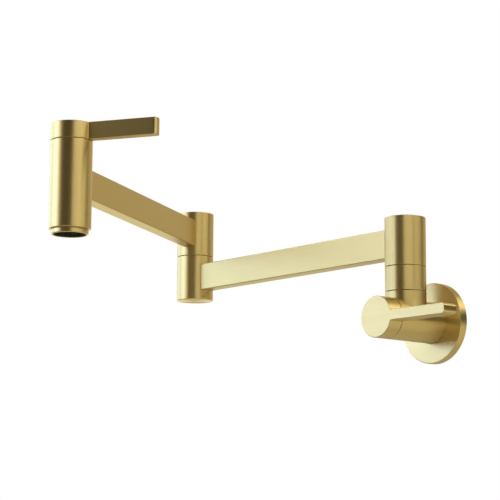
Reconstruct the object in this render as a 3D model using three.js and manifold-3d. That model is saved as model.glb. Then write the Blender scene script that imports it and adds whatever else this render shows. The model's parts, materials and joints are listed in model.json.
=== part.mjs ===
// Wall mounted pot filler: a two-arm swinging cold tap with a quarter-turn valve at the wall
// and a second one over the spout.
//
// Millimetres. +Z is up and +X runs to the right along the wall. The finished wall is the plane
// y = 0, and the tap stands out from it towards -Y. The origin is the centre of the inlet, in the
// plane of the wall. The arms are drawn in the position of the photograph.

import * as THREE from "three";
import { mergeVertices } from "three/addons/utils/BufferGeometryUtils.js";
import Module from "manifold-3d";

const QUARTER_TURN = 90;
const PAST = 1; // how far a cutting tool runs past the face that it cuts

const wasm = await Module();
wasm.setup();

// ---------------------------------------------------------------- driving dimensions

// General
const COLUMN_D = 36; // uprights, valve barrel, spout head and handle caps share this diameter
const SEAM = 0.4; // visible joint line between two turned pieces
const FIT = 0.3; // clearance between pieces that seat in one another
const EDGE = 0.5; // chamfer on turned outer edges

// Wall flange and inlet
const FLANGE_D = 71;
const FLANGE_DEPTH = 7.6;
const FLANGE_PLATE = 2.6;
const FLANGE_RIM_WALL = 3;
const FLANGE_HUB_WALL = 4.2;
const FLANGE_HUB_BACK = 1.2; // the hub stops this far short of the wall
const GRIP_RING_SECTION = 1.4;
const GASKET_WIDTH = 6;
const THREAD_D = 21.3; // half-inch taper pipe thread
const THREAD_TAPER = 1 / 16; // on the diameter
const THREAD_LENGTH = 18.5; // how far the adapter reaches into the wall
const SPIGOT_D = 24;
const SPIGOT_LENGTH = 23;
const HEX_BORE = 10; // across the flats, for the fitting key
const SCREW_GROOVE_DEPTH = 1;
const ADAPTER_O_RING_OFFSET = 6; // each side of the set screw

// Valve barrel
const BARREL_BACK = 1.5; // the barrel stops this far short of the wall
const POST_REACH = 39; // wall to the axis of the upright post
const BARREL_LENGTH = 60.6; // wall to the front end of the barrel
const STUB_TOP = 24.1;
const SEAT_WEB = 3;
const SEAT_HOLE_D = 10;
const RISER_D = 9; // water hole from the cartridge up into the stub
const BODY_SCREW_PLACE = 13.5; // from the wall, on the left side of the barrel
const BODY_SCREW_D = 5;

// Upright post, elbow and arms
const COLLAR_HEIGHT = 21.5;
const LEVEL_HEIGHT = 43.4; // height of one swivelling cylinder
const ARM_LENGTH = 292; // axis to axis, the same on both arms
const ARM_HEIGHT = 25.8;
const ARM_WIDTH = 13.6;
const ARM_WALL = 2.2;
const ARM_EDGE_R = 0.9;
const PORT_WIDTH = 8;
const PORT_HEIGHT = 15;
const SPINDLE_D = 22.8;
const SPINDLE_BORE_D = 11;
const SPINDLE_THREAD_D = 17;
const SPINDLE_FOOT = 9.7; // how deep a spindle sits in the piece that carries it
const SPINDLE_RELIEF = 2; // depth of the groove that feeds the port
const SPINDLE_RELIEF_HEIGHT = 13;
const SPINDLE_CROSS_D = 8;
const SHOULDER_DEPTH = 8.3; // from the top of the swivel down to the ledge under the nut
const SWIVEL_NUT_FLATS = 22.5;
const SWIVEL_NUT_HEIGHT = 3.7;
const SWIVEL_NUT_POCKET_D = 28;
const CAP_D = 30.4;
const CAP_HEIGHT = 2.6;
const WASHER_HEIGHT = 0.8;
const WASHER_WIDTH = 3.3;
const O_RING_SECTION = 1.5;
const O_RING_SQUEEZE = 1.25; // radial width once it is in its groove
const SEAL_OFFSET = 4; // seals of the spindle, from the bottom of the swivel and from its ledge
const ELBOW_FLOOR = 10; // solid base of the lower elbow
const ELBOW_CHAMBER_D = 16;

// Spout head and aerator
const HEAD_BOTTOM = 68.5;
const HEAD_TOP = 144.2;
const HEAD_PORT_HEIGHT = 7;
const HEAD_PORT_CENTRE = 118;
const HEAD_BORE_D = 16;
const AERATOR_D = 31.8;
const AERATOR_RING_HEIGHT = 4;
const AERATOR_THREAD_D = 29.2;
const AERATOR_THREAD_LENGTH = 9;
const AERATOR_MOUTH_D = 28.2;
const AERATOR_BORE_D = 26;
const AERATOR_LIP = 2.4;
const INSERT_RECESS = 0.3;
const INSERT_LENGTH = 12;
const CELL_FLATS = 3.8;
const CELL_PITCH = 4.7;
const CELL_RINGS = 2;
const AERATOR_GASKET_HEIGHT = 1.4;
const AERATOR_GASKET_BORE_D = 19;

// Quarter-turn valves, the same at the wall and over the spout. Heights are from the mouth of the
// body, and go down into it.
const CAVITY_DEPTH = 30.6;
const CAVITY_D = 23;
const NUT_THREAD_D = 27;
const LEDGE_DEPTH = 8.3;
const CARTRIDGE_D = 21.4;
const CARTRIDGE_SHOULDER_HEIGHT = 2;
const CARTRIDGE_NECK_D = 15;
const CARTRIDGE_NECK_TOP = 0.5;
const CARTRIDGE_BORE_D = 19;
const DISC_D = 18.4;
const DISC_HEIGHT = 2.8;
const DISC_PORT_R = 6.2;
const DISC_PORT_INNER_R = 2.4;
const WING_OVERLAP = 0.06; // radians of sealing overlap at each edge of a wing
const SEAL_HEIGHT = 1.4;
const SEAL_WIDTH = 4;
const DRIVER_HEIGHT = 3.4;
const DRIVER_D = 17.6;
const KEY_WIDTH = 3;
const KEY_DEPTH = 1.2;
const STEM_D = 8;
const STEM_TOP = 10; // above the mouth, inside the handle
const SPLINE_TEETH = 12;
const SPLINE_DEPTH = 0.4;
const SPLINE_LENGTH = 8;
const WINDOW_WIDTH = 6;
const WINDOW_HEIGHT = 4.6;
const CARTRIDGE_NUT_HEIGHT = 5;

// Handles, both alike
const HANDLE_THICKNESS = 14.8;
const BLADE_WIDTH = 9.2;
const BLADE_REACH = 79.4; // axis of the cap to the end of the blade
const BLADE_CORNER_R = 3;
const BLADE_ROOT_R = 1;
const HANDLE_POCKET_D = 29;
const HANDLE_POCKET_DEPTH = 5.6;
const HANDLE_BOSS_D = 14;
const STEM_SOCKET_DEPTH = 11;
const HANDLE_SCREW_D = 4;
const HANDLE_SCREW_HEIGHT = 10; // above the mouth
const HANDLE_SCREW_LENGTH = 8;

// Rest position
const ARM_1_ANGLE = THREE.MathUtils.degToRad(180); // arm 1 lies along the wall, to the left
const ARM_2_ANGLE = THREE.MathUtils.degToRad(120); // from arm 1, arm 2 folds back towards the room
const SPOUT_HANDLE_ANGLE = THREE.MathUtils.degToRad(90); // from arm 2

// Facets
const OUTER_SIDES = 36; // columns, flange and handles
const INNER_SIDES = 18; // bores, rings and spindles
const CAP_SIDES = 24; // mid-sized bores and discs
const SMALL_SIDES = 10; // screws and cross holes
const O_RING_FACETS = 5;
const CORNER_STEPS = 3;

// ---------------------------------------------------------------- derived places

const COLUMN_R = COLUMN_D / 2;
const LEVEL_1 = STUB_TOP + SEAM + COLLAR_HEIGHT + SEAM; // bottom of the post swivel
const LEVEL_2 = LEVEL_1 + LEVEL_HEIGHT + SEAM; // bottom of the upper elbow
const ARM_MIDDLE = LEVEL_HEIGHT / 2; // the arms leave halfway up their cylinders
const SHOULDER_HEIGHT = LEVEL_HEIGHT - SHOULDER_DEPTH;
const LOWER_O_RING = SEAL_OFFSET;
const UPPER_O_RING = SHOULDER_HEIGHT - SEAL_OFFSET;
const SPINDLE_R = SPINDLE_D / 2;
const SPINDLE_SOCKET_R = SPINDLE_R + FIT;
const CAP_LEDGE = LEVEL_HEIGHT - CAP_HEIGHT - FIT;
const THRUST_WASHER_R = SPINDLE_SOCKET_R + FIT;
const SPIGOT_START = BARREL_BACK - 1;
const SOCKET_DEPTH = SPIGOT_START + SPIGOT_LENGTH + FIT; // rear socket of the barrel, from the wall

// ---------------------------------------------------------------- finishes

function finish(color, roughness, metalness) {
  return new THREE.MeshStandardMaterial({ color, roughness, metalness, flatShading: true });
}

const brushedGold = finish(0xc2a869, 0.34, 1);
const bareBrass = finish(0xb08d4c, 0.45, 1);
const steel = finish(0x8f9296, 0.35, 1);
const rubber = finish(0x17181a, 0.85, 0);
const foam = finish(0x3a3b3d, 0.95, 0);
const whitePlastic = finish(0xe9e7e0, 0.5, 0);
const blackPlastic = finish(0x101113, 0.5, 0);
const ceramic = finish(0xf0efe9, 0.25, 0);

// ---------------------------------------------------------------- solids

function signedVolume(position, index) {
  const a = new THREE.Vector3();
  const b = new THREE.Vector3();
  const c = new THREE.Vector3();
  let volume = 0;
  for (let i = 0; i < index.length; i += 3) {
    a.fromBufferAttribute(position, index[i]);
    b.fromBufferAttribute(position, index[i + 1]);
    c.fromBufferAttribute(position, index[i + 2]);
    volume += a.dot(b.cross(c)) / 6;
  }
  return volume;
}

// Turns a closed three.js geometry into a solid that can be joined and cut.
function solid(geometry) {
  geometry.deleteAttribute("normal");
  geometry.deleteAttribute("uv");
  const merged = mergeVertices(geometry, 1e-4);
  const source = merged.index.array;
  const kept = [];
  for (let i = 0; i < source.length; i += 3) {
    const [a, b, c] = [source[i], source[i + 1], source[i + 2]];
    if (a !== b && b !== c && c !== a) kept.push(a, b, c);
  }
  if (signedVolume(merged.attributes.position, kept) < 0) kept.reverse();
  const vertProperties = new Float32Array(merged.attributes.position.array);
  return new wasm.Manifold(new wasm.Mesh({ numProp: 3, vertProperties, triVerts: new Uint32Array(kept) }));
}

// A solid turned about the Z axis from [radius, height] points.
function turned(points, sides) {
  const outline = points.map(([radius, height]) => new THREE.Vector2(radius, height));
  const touchesAxis = points[0][0] === 0 && points.at(-1)[0] === 0;
  if (!touchesAxis) outline.push(outline[0].clone());
  return solid(new THREE.LatheGeometry(outline, sides).rotateX(Math.PI / 2));
}

// A plain disc or pin between two heights, chamfered at both ends.
function pin(radius, bottom, top, sides, chamfer = 0) {
  return turned(
    [
      [0, bottom],
      [radius - chamfer, bottom],
      ...(chamfer > 0 ? [[radius, bottom + chamfer], [radius, top - chamfer]] : [[radius, top]]),
      ...(chamfer > 0 ? [[radius - chamfer, top]] : []),
      [0, top],
    ],
    sides,
  );
}

// A flat ring between two heights.
function ring(inner, outer, bottom, top, sides) {
  return turned([[inner, bottom], [outer, bottom], [outer, top], [inner, top]], sides);
}

// A rubber ring with a rounded section, squeezed to `width` across and `height` along the axis.
function oRing(inner, width, height, middle, sides) {
  const section = [];
  for (let i = 0; i < O_RING_FACETS; i++) {
    const angle = (2 * Math.PI * i) / O_RING_FACETS;
    section.push([
      inner + (width / 2) * (1 + Math.cos(angle)),
      middle + (height / 2) * Math.sin(angle),
    ]);
  }
  return turned(section, sides);
}

// Points along an arc, both ends included.
function arc(x, y, radius, start, end, steps) {
  const points = [];
  for (let i = 0; i <= steps; i++) {
    const angle = start + ((end - start) * i) / steps;
    points.push(new THREE.Vector2(x + radius * Math.cos(angle), y + radius * Math.sin(angle)));
  }
  return points;
}

function box(width, depth, height, x, y, z) {
  return solid(new THREE.BoxGeometry(width, depth, height).translate(x, y, z));
}

function extruded(shape, bottom, top, bevel = 0) {
  const geometry = new THREE.ExtrudeGeometry(shape, {
    depth: top - bottom - 2 * bevel,
    bevelEnabled: bevel > 0,
    bevelThickness: bevel,
    bevelSize: bevel,
    bevelOffset: -bevel,
    bevelSegments: 1,
  });
  return solid(geometry.translate(0, 0, bottom + bevel));
}

// A six-sided prism, by its width across the flats.
function hexPrism(flats, bottom, top, x = 0, y = 0) {
  const corner = flats / Math.sqrt(3);
  const shape = new THREE.Shape();
  for (let i = 0; i < 6; i++) {
    const angle = (i * Math.PI) / 3;
    const place = [x + corner * Math.cos(angle), y + corner * Math.sin(angle)];
    if (i === 0) shape.moveTo(...place);
    else shape.lineTo(...place);
  }
  shape.closePath();
  return extruded(shape, bottom, top);
}

// Lays a piece down, so that its height becomes its distance from the wall.
function lying(piece) {
  return piece.rotate([QUARTER_TURN, 0, 0]);
}

function cutAll(piece, ...tools) {
  return tools.reduce((rest, tool) => rest.subtract(tool), piece);
}

function mesh(name, piece, material) {
  const { vertProperties, triVerts } = piece.getMesh();
  const geometry = new THREE.BufferGeometry();
  geometry.setAttribute("position", new THREE.BufferAttribute(vertProperties, 3));
  geometry.setIndex(new THREE.BufferAttribute(triVerts, 1));
  geometry.computeVertexNormals();
  const result = new THREE.Mesh(geometry, material);
  result.name = name;
  return result;
}

function group(...children) {
  const result = new THREE.Group();
  result.add(...children);
  return result;
}

// ---------------------------------------------------------------- wall flange and inlet

function wallFlange() {
  const outer = FLANGE_D / 2;
  const hole = COLUMN_R + FIT;
  const hub = hole + FLANGE_HUB_WALL;
  const plateBack = FLANGE_DEPTH - FLANGE_PLATE;
  const grooveMiddle = (FLANGE_HUB_BACK + plateBack) / 2;
  const grooveFloor = hole + GRIP_RING_SECTION + FIT;
  const grooveHalf = GRIP_RING_SECTION / 2 + FIT;
  const cup = turned(
    [
      [0, FLANGE_DEPTH],
      [outer - EDGE, FLANGE_DEPTH],
      [outer, FLANGE_DEPTH - EDGE],
      [outer, 0],
      [outer - FLANGE_RIM_WALL, 0],
      [outer - FLANGE_RIM_WALL, plateBack],
      [0, plateBack],
    ],
    OUTER_SIDES,
  );
  return cutAll(
    cup.add(pin(hub, FLANGE_HUB_BACK, FLANGE_DEPTH - PAST, CAP_SIDES)),
    pin(hole, -PAST, FLANGE_DEPTH + PAST, CAP_SIDES),
    pin(grooveFloor, grooveMiddle - grooveHalf, grooveMiddle + grooveHalf, CAP_SIDES),
  );
}

function gripRing() {
  const middle = (FLANGE_HUB_BACK + FLANGE_DEPTH - FLANGE_PLATE) / 2;
  return oRing(COLUMN_R + FIT, GRIP_RING_SECTION, GRIP_RING_SECTION, middle, CAP_SIDES);
}

function flangeGasket() {
  const outer = FLANGE_D / 2 - FLANGE_RIM_WALL - FIT;
  return ring(outer - GASKET_WIDTH, outer, 0, FLANGE_DEPTH - FLANGE_PLATE - FIT, CAP_SIDES);
}

// Places of the two seals on the adapter's spigot, from the wall.
const ADAPTER_O_RINGS = [BODY_SCREW_PLACE - ADAPTER_O_RING_OFFSET, BODY_SCREW_PLACE + ADAPTER_O_RING_OFFSET];

function grooveAt(middle, radius, depth) {
  const half = O_RING_SECTION / 2 + FIT;
  return [
    [radius, middle - half],
    [radius - depth, middle - half],
    [radius - depth, middle + half],
    [radius, middle + half],
  ];
}

function inletAdapter() {
  const spigot = SPIGOT_D / 2;
  const end = SPIGOT_START + SPIGOT_LENGTH;
  const root = THREAD_D / 2;
  const tip = root - (THREAD_LENGTH * THREAD_TAPER) / 2;
  const screwHalf = BODY_SCREW_D / 2;
  const body = turned(
    [
      [0, -THREAD_LENGTH],
      [tip - EDGE, -THREAD_LENGTH],
      [tip, -THREAD_LENGTH + EDGE],
      [root, 0],
      [root, SPIGOT_START],
      [spigot, SPIGOT_START],
      ...grooveAt(ADAPTER_O_RINGS[0], spigot, O_RING_SECTION),
      [spigot, BODY_SCREW_PLACE - screwHalf],
      [spigot - SCREW_GROOVE_DEPTH, BODY_SCREW_PLACE - screwHalf + SCREW_GROOVE_DEPTH],
      [spigot - SCREW_GROOVE_DEPTH, BODY_SCREW_PLACE + screwHalf - SCREW_GROOVE_DEPTH],
      [spigot, BODY_SCREW_PLACE + screwHalf],
      ...grooveAt(ADAPTER_O_RINGS[1], spigot, O_RING_SECTION),
      [spigot, end - EDGE],
      [spigot - EDGE, end],
      [0, end],
    ],
    INNER_SIDES,
  );
  return body.subtract(hexPrism(HEX_BORE, -THREAD_LENGTH - PAST, end + PAST));
}

function adapterORing(middle) {
  return oRing(SPIGOT_D / 2 - O_RING_SECTION + FIT, O_RING_SQUEEZE, O_RING_SECTION, middle, INNER_SIDES);
}

// A socket set screw along +Z with its cone point at `tip`.
function setScrew(diameter, length, tip) {
  const radius = diameter / 2;
  const point = radius / 2;
  const body = turned(
    [
      [0, tip],
      [point, tip],
      [radius, tip + point],
      [radius, tip + length],
      [0, tip + length],
    ],
    SMALL_SIDES,
  );
  return body.subtract(hexPrism(radius, tip + length / 2, tip + length + PAST));
}

function toTheLeft(piece) {
  return piece.rotate([0, -QUARTER_TURN, 0]);
}

// ---------------------------------------------------------------- valve barrel

// The room for a cartridge and its nut, below a mouth at height 0.
function cartridgeRoom(outletRadius, outletDepth) {
  return turned(
    [
      [0, -CAVITY_DEPTH - outletDepth],
      [outletRadius, -CAVITY_DEPTH - outletDepth],
      [outletRadius, -CAVITY_DEPTH],
      [CAVITY_D / 2, -CAVITY_DEPTH],
      [CAVITY_D / 2, -LEDGE_DEPTH],
      [NUT_THREAD_D / 2, -LEDGE_DEPTH],
      [NUT_THREAD_D / 2, PAST],
      [0, PAST],
    ],
    INNER_SIDES,
  );
}

// The recess in the top of a fixed upright, for its spindle and thrust washer.
function spindleSocket(top, depth) {
  const recess = THRUST_WASHER_R + WASHER_WIDTH + FIT;
  const washerRoom = WASHER_HEIGHT + FIT - SEAM + FIT;
  return turned(
    [
      [0, top - depth],
      [SPINDLE_SOCKET_R, top - depth],
      [SPINDLE_SOCKET_R, top - washerRoom],
      [recess, top - washerRoom],
      [recess, top + PAST],
      [0, top + PAST],
    ],
    INNER_SIDES,
  );
}

function valveBody() {
  const barrel = lying(
    turned(
      [
        [0, BARREL_BACK],
        [COLUMN_R, BARREL_BACK],
        [COLUMN_R, BARREL_LENGTH - EDGE],
        [COLUMN_R - EDGE, BARREL_LENGTH],
        [0, BARREL_LENGTH],
      ],
      OUTER_SIDES,
    ),
  );
  const stub = pin(COLUMN_R, 0, STUB_TOP, OUTER_SIDES)
    .subtract(stubTopBevel())
    .translate([0, -POST_REACH, 0]);
  const webDepth = BARREL_LENGTH - CAVITY_DEPTH - SOCKET_DEPTH;
  const frontRoom = lying(cartridgeRoom(SEAT_HOLE_D / 2, webDepth + PAST).translate([0, 0, BARREL_LENGTH]));
  const rearSocket = lying(pin(SPIGOT_D / 2 + FIT, 0, SOCKET_DEPTH, INNER_SIDES));
  const upright = pin(SPINDLE_SOCKET_R, STUB_TOP - SPINDLE_FOOT - FIT, STUB_TOP + PAST, INNER_SIDES);
  const riser = pin(RISER_D / 2, 0, STUB_TOP, INNER_SIDES);
  const screwHole = toTheLeft(pin(BODY_SCREW_D / 2 + FIT, 0, COLUMN_R + PAST, SMALL_SIDES));
  return cutAll(
    barrel.add(stub),
    frontRoom,
    rearSocket,
    upright.translate([0, -POST_REACH, 0]),
    riser.translate([0, -POST_REACH, 0]),
    screwHole.translate([0, -BODY_SCREW_PLACE, 0]),
  );
}

// What a chamfer takes off the top edge of the stub.
function stubTopBevel() {
  return turned(
    [
      [COLUMN_R - EDGE, STUB_TOP],
      [COLUMN_R + PAST, STUB_TOP - EDGE - PAST],
      [COLUMN_R + PAST, STUB_TOP + PAST],
      [COLUMN_R - EDGE, STUB_TOP + PAST],
    ],
    OUTER_SIDES,
  );
}

// ---------------------------------------------------------------- quarter-turn valve

const SEAL_BOTTOM = -CAVITY_DEPTH + FIT;
const FIXED_DISC_BOTTOM = SEAL_BOTTOM + SEAL_HEIGHT + FIT;
const MOVING_DISC_BOTTOM = FIXED_DISC_BOTTOM + DISC_HEIGHT + FIT;
const DRIVER_BOTTOM = MOVING_DISC_BOTTOM + DISC_HEIGHT + FIT;
const CARTRIDGE_ROOF = DRIVER_BOTTOM + DRIVER_HEIGHT + FIT;
const CARTRIDGE_SHOULDER = -LEDGE_DEPTH + FIT;

function cartridgeHousing() {
  const shell = CARTRIDGE_D / 2;
  const bore = CARTRIDGE_BORE_D / 2;
  const shoulder = NUT_THREAD_D / 2 - FIT;
  const shoulderTop = CARTRIDGE_SHOULDER + CARTRIDGE_SHOULDER_HEIGHT;
  const stemHole = STEM_D / 2 + FIT;
  const body = turned(
    [
      [bore, FIXED_DISC_BOTTOM],
      [shell, FIXED_DISC_BOTTOM],
      [shell, CARTRIDGE_SHOULDER],
      [shoulder, CARTRIDGE_SHOULDER],
      [shoulder, shoulderTop],
      [CARTRIDGE_NECK_D / 2, shoulderTop],
      [CARTRIDGE_NECK_D / 2, -CARTRIDGE_NECK_TOP],
      [stemHole, -CARTRIDGE_NECK_TOP],
      [stemHole, CARTRIDGE_ROOF],
      [bore, CARTRIDGE_ROOF],
    ],
    INNER_SIDES,
  );
  const middle = DRIVER_BOTTOM + WINDOW_HEIGHT / 2 - FIT;
  const across = box(CARTRIDGE_D + 2 * PAST, WINDOW_WIDTH, WINDOW_HEIGHT, 0, 0, middle);
  const along = box(WINDOW_WIDTH, CARTRIDGE_D + 2 * PAST, WINDOW_HEIGHT, 0, 0, middle);
  return cutAll(body, across, along);
}

// Two wings, a quarter of the disc each, that let the water through.
function wings(inner, outer) {
  const spread = Math.PI / 4 - WING_OVERLAP;
  return [0, Math.PI].map(
    (turn) =>
      new THREE.Shape([
        ...arc(0, 0, outer, turn - spread, turn + spread, 2 * CORNER_STEPS),
        ...arc(0, 0, inner, turn + spread, turn - spread, CORNER_STEPS),
      ]),
  );
}

function wingCut(bottom, top) {
  const [one, other] = wings(DISC_PORT_INNER_R, DISC_PORT_R);
  return extruded(one, bottom, top).add(extruded(other, bottom, top));
}

function fixedDisc() {
  const top = FIXED_DISC_BOTTOM + DISC_HEIGHT;
  return pin(DISC_D / 2, FIXED_DISC_BOTTOM, top, INNER_SIDES).subtract(
    wingCut(FIXED_DISC_BOTTOM - PAST, top + PAST),
  );
}

function movingDisc() {
  const top = MOVING_DISC_BOTTOM + DISC_HEIGHT;
  const slotDepth = KEY_DEPTH + FIT;
  return cutAll(
    pin(DISC_D / 2, MOVING_DISC_BOTTOM, top, INNER_SIDES),
    wingCut(MOVING_DISC_BOTTOM - PAST, top + PAST).rotate([0, 0, QUARTER_TURN]),
    box(DISC_D + 2 * PAST, KEY_WIDTH + 2 * FIT, 2 * slotDepth, 0, 0, top),
  );
}

function cartridgeSeal() {
  const inner = SEAT_HOLE_D / 2 + FIT;
  return ring(inner, inner + SEAL_WIDTH, SEAL_BOTTOM, SEAL_BOTTOM + SEAL_HEIGHT, INNER_SIDES);
}

function cartridgeNut() {
  const bottom = CARTRIDGE_SHOULDER + CARTRIDGE_SHOULDER_HEIGHT + FIT;
  const inner = CARTRIDGE_NECK_D / 2 + FIT;
  const nut = ring(inner, NUT_THREAD_D / 2 - FIT, bottom, bottom + CARTRIDGE_NUT_HEIGHT, INNER_SIDES);
  const slot = box(NUT_THREAD_D + 2 * PAST, KEY_WIDTH, 2 * KEY_DEPTH, 0, 0, bottom + CARTRIDGE_NUT_HEIGHT);
  return cutAll(nut, slot, slot.rotate([0, 0, QUARTER_TURN]));
}

function stem() {
  const driver = pin(DRIVER_D / 2, DRIVER_BOTTOM, DRIVER_BOTTOM + DRIVER_HEIGHT, INNER_SIDES);
  const splineBottom = STEM_TOP - SPLINE_LENGTH;
  const journal = pin(STEM_D / 2, DRIVER_BOTTOM + PAST, splineBottom, INNER_SIDES);
  const key = box(DRIVER_D - 2 * FIT, KEY_WIDTH, 2 * KEY_DEPTH, 0, 0, DRIVER_BOTTOM);
  const spline = new THREE.Shape();
  for (let i = 0; i < 2 * SPLINE_TEETH; i++) {
    const radius = STEM_D / 2 - (i % 2 ? SPLINE_DEPTH : 0);
    const angle = (i * Math.PI) / SPLINE_TEETH;
    const place = [radius * Math.cos(angle), radius * Math.sin(angle)];
    if (i === 0) spline.moveTo(...place);
    else spline.lineTo(...place);
  }
  spline.closePath();
  return driver.add(journal).add(key).add(extruded(spline, splineBottom - PAST, STEM_TOP));
}

// The outline of cap and blade in one, seen along the axis, with the blade towards +X.
function handleOutline() {
  const half = BLADE_WIDTH / 2;
  const rootY = half + BLADE_ROOT_R;
  const rootX = Math.sqrt((COLUMN_R + BLADE_ROOT_R) ** 2 - rootY ** 2);
  const meet = Math.atan2(rootY, rootX);
  const corner = BLADE_CORNER_R;
  const cornerX = BLADE_REACH - corner;
  return new THREE.Shape([
    ...arc(0, 0, COLUMN_R, meet, 2 * Math.PI - meet, OUTER_SIDES),
    ...arc(rootX, -rootY, BLADE_ROOT_R, Math.PI - meet, Math.PI / 2, CORNER_STEPS).slice(1),
    ...arc(cornerX, -half + corner, corner, -Math.PI / 2, 0, CORNER_STEPS),
    ...arc(cornerX, half - corner, corner, 0, Math.PI / 2, CORNER_STEPS),
    ...arc(rootX, rootY, BLADE_ROOT_R, -Math.PI / 2, -Math.PI + meet, CORNER_STEPS).slice(0, -1),
  ]);
}

function handle() {
  const bottom = SEAM;
  const pocketTop = bottom + HANDLE_POCKET_DEPTH;
  const boss = HANDLE_BOSS_D / 2;
  const plate = extruded(handleOutline(), bottom, bottom + HANDLE_THICKNESS, EDGE);
  const pocket = turned(
    [
      [boss, bottom - PAST],
      [HANDLE_POCKET_D / 2, bottom - PAST],
      [HANDLE_POCKET_D / 2, pocketTop],
      [boss, pocketTop],
    ],
    INNER_SIDES,
  );
  const socket = pin(STEM_D / 2 + FIT, bottom - PAST, bottom + STEM_SOCKET_DEPTH, INNER_SIDES);
  const screwHole = toTheLeft(pin(HANDLE_SCREW_D / 2 + FIT, 0, COLUMN_R + PAST, SMALL_SIDES));
  return cutAll(plate, pocket, socket, screwHole.translate([0, 0, HANDLE_SCREW_HEIGHT]));
}

function handleScrew() {
  const tip = STEM_D / 2 + FIT;
  return toTheLeft(setScrew(HANDLE_SCREW_D, HANDLE_SCREW_LENGTH, tip)).translate([0, 0, HANDLE_SCREW_HEIGHT]);
}

// All of one valve, above and below a mouth at height 0, with its blade towards +X.
function valve(place) {
  return group(
    mesh(`${place}_cartridge_housing`, cartridgeHousing(), whitePlastic),
    mesh(`${place}_ceramic_disc_fixed`, fixedDisc(), ceramic),
    mesh(`${place}_cartridge_seal`, cartridgeSeal(), rubber),
    mesh(`${place}_cartridge_nut`, cartridgeNut(), bareBrass),
    mesh(`${place}_ceramic_disc_moving`, movingDisc(), ceramic),
    mesh(`${place}_stem`, stem(), bareBrass),
    mesh(`${place}_handle`, handle(), brushedGold),
    mesh(`${place}_handle_screw`, handleScrew(), steel),
  );
}

// ---------------------------------------------------------------- swivel joint

// Heights are from the bottom of the swivelling cylinder.

function spindle(foot) {
  const thread = SPINDLE_THREAD_D / 2;
  const threadTop = SHOULDER_HEIGHT + WASHER_HEIGHT + SWIVEL_NUT_HEIGHT + 2 * FIT;
  const reliefHalf = SPINDLE_RELIEF_HEIGHT / 2;
  const relief = SPINDLE_R - SPINDLE_RELIEF;
  const body = turned(
    [
      [0, foot],
      [SPINDLE_R, foot],
      ...grooveAt(LOWER_O_RING, SPINDLE_R, O_RING_SECTION),
      [SPINDLE_R, ARM_MIDDLE - reliefHalf],
      [relief, ARM_MIDDLE - reliefHalf],
      [relief, ARM_MIDDLE + reliefHalf],
      [SPINDLE_R, ARM_MIDDLE + reliefHalf],
      ...grooveAt(UPPER_O_RING, SPINDLE_R, O_RING_SECTION),
      [SPINDLE_R, SHOULDER_HEIGHT],
      [thread, SHOULDER_HEIGHT],
      [thread, threadTop],
      [0, threadTop],
    ],
    INNER_SIDES,
  );
  const crossHole = pin(SPINDLE_CROSS_D / 2, -COLUMN_R, COLUMN_R, SMALL_SIDES);
  return cutAll(
    body,
    pin(SPINDLE_BORE_D / 2, foot - PAST, ARM_MIDDLE + SPINDLE_CROSS_D / 2, SMALL_SIDES),
    crossHole.rotate([0, QUARTER_TURN, 0]).translate([0, 0, ARM_MIDDLE]),
  );
}

function spindleORing(middle) {
  return oRing(SPINDLE_R - O_RING_SECTION + FIT, O_RING_SQUEEZE, O_RING_SECTION, middle, INNER_SIDES);
}

function thrustWasher() {
  return ring(THRUST_WASHER_R, THRUST_WASHER_R + WASHER_WIDTH, -WASHER_HEIGHT - FIT, -FIT, INNER_SIDES);
}

function topWasher() {
  const bottom = SHOULDER_HEIGHT + FIT;
  const outer = SWIVEL_NUT_POCKET_D / 2 - FIT;
  return ring(SPINDLE_THREAD_D / 2 + FIT, outer, bottom, bottom + WASHER_HEIGHT, INNER_SIDES);
}

function swivelNut() {
  const bottom = SHOULDER_HEIGHT + WASHER_HEIGHT + 2 * FIT;
  const top = bottom + SWIVEL_NUT_HEIGHT - FIT;
  return hexPrism(SWIVEL_NUT_FLATS, bottom, top).subtract(
    pin(SPINDLE_THREAD_D / 2 + FIT, bottom - PAST, top + PAST, INNER_SIDES),
  );
}

function swivelCap() {
  return pin(CAP_D / 2, LEVEL_HEIGHT - CAP_HEIGHT, LEVEL_HEIGHT, CAP_SIDES);
}

// A swivelling cylinder; its arm leaves towards +X.
function swivelShell() {
  return cutAll(
    pin(COLUMN_R, 0, LEVEL_HEIGHT, OUTER_SIDES, EDGE),
    pin(SPINDLE_SOCKET_R, -PAST, SHOULDER_HEIGHT + PAST, INNER_SIDES),
    pin(SWIVEL_NUT_POCKET_D / 2, SHOULDER_HEIGHT, LEVEL_HEIGHT, INNER_SIDES),
    pin(CAP_D / 2 + FIT, CAP_LEDGE, LEVEL_HEIGHT + PAST, CAP_SIDES),
    box(COLUMN_D, PORT_WIDTH, PORT_HEIGHT, COLUMN_R, 0, ARM_MIDDLE),
  );
}

// The pieces that stay with the spindle, and the two that turn with the arm.
function pivotCore(place, foot) {
  return group(
    mesh(`${place}_thrust_washer`, thrustWasher(), whitePlastic),
    mesh(`${place}_spindle`, spindle(foot), bareBrass),
    mesh(`${place}_o_ring_1`, spindleORing(LOWER_O_RING), rubber),
    mesh(`${place}_o_ring_2`, spindleORing(UPPER_O_RING), rubber),
    mesh(`${place}_top_washer`, topWasher(), whitePlastic),
    mesh(`${place}_nut`, swivelNut(), bareBrass),
  );
}

function postCollar() {
  const top = -SEAM;
  const bottom = top - COLLAR_HEIGHT;
  return cutAll(
    pin(COLUMN_R, bottom, top, OUTER_SIDES, EDGE),
    spindleSocket(top, COLLAR_HEIGHT + PAST),
  );
}

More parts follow.
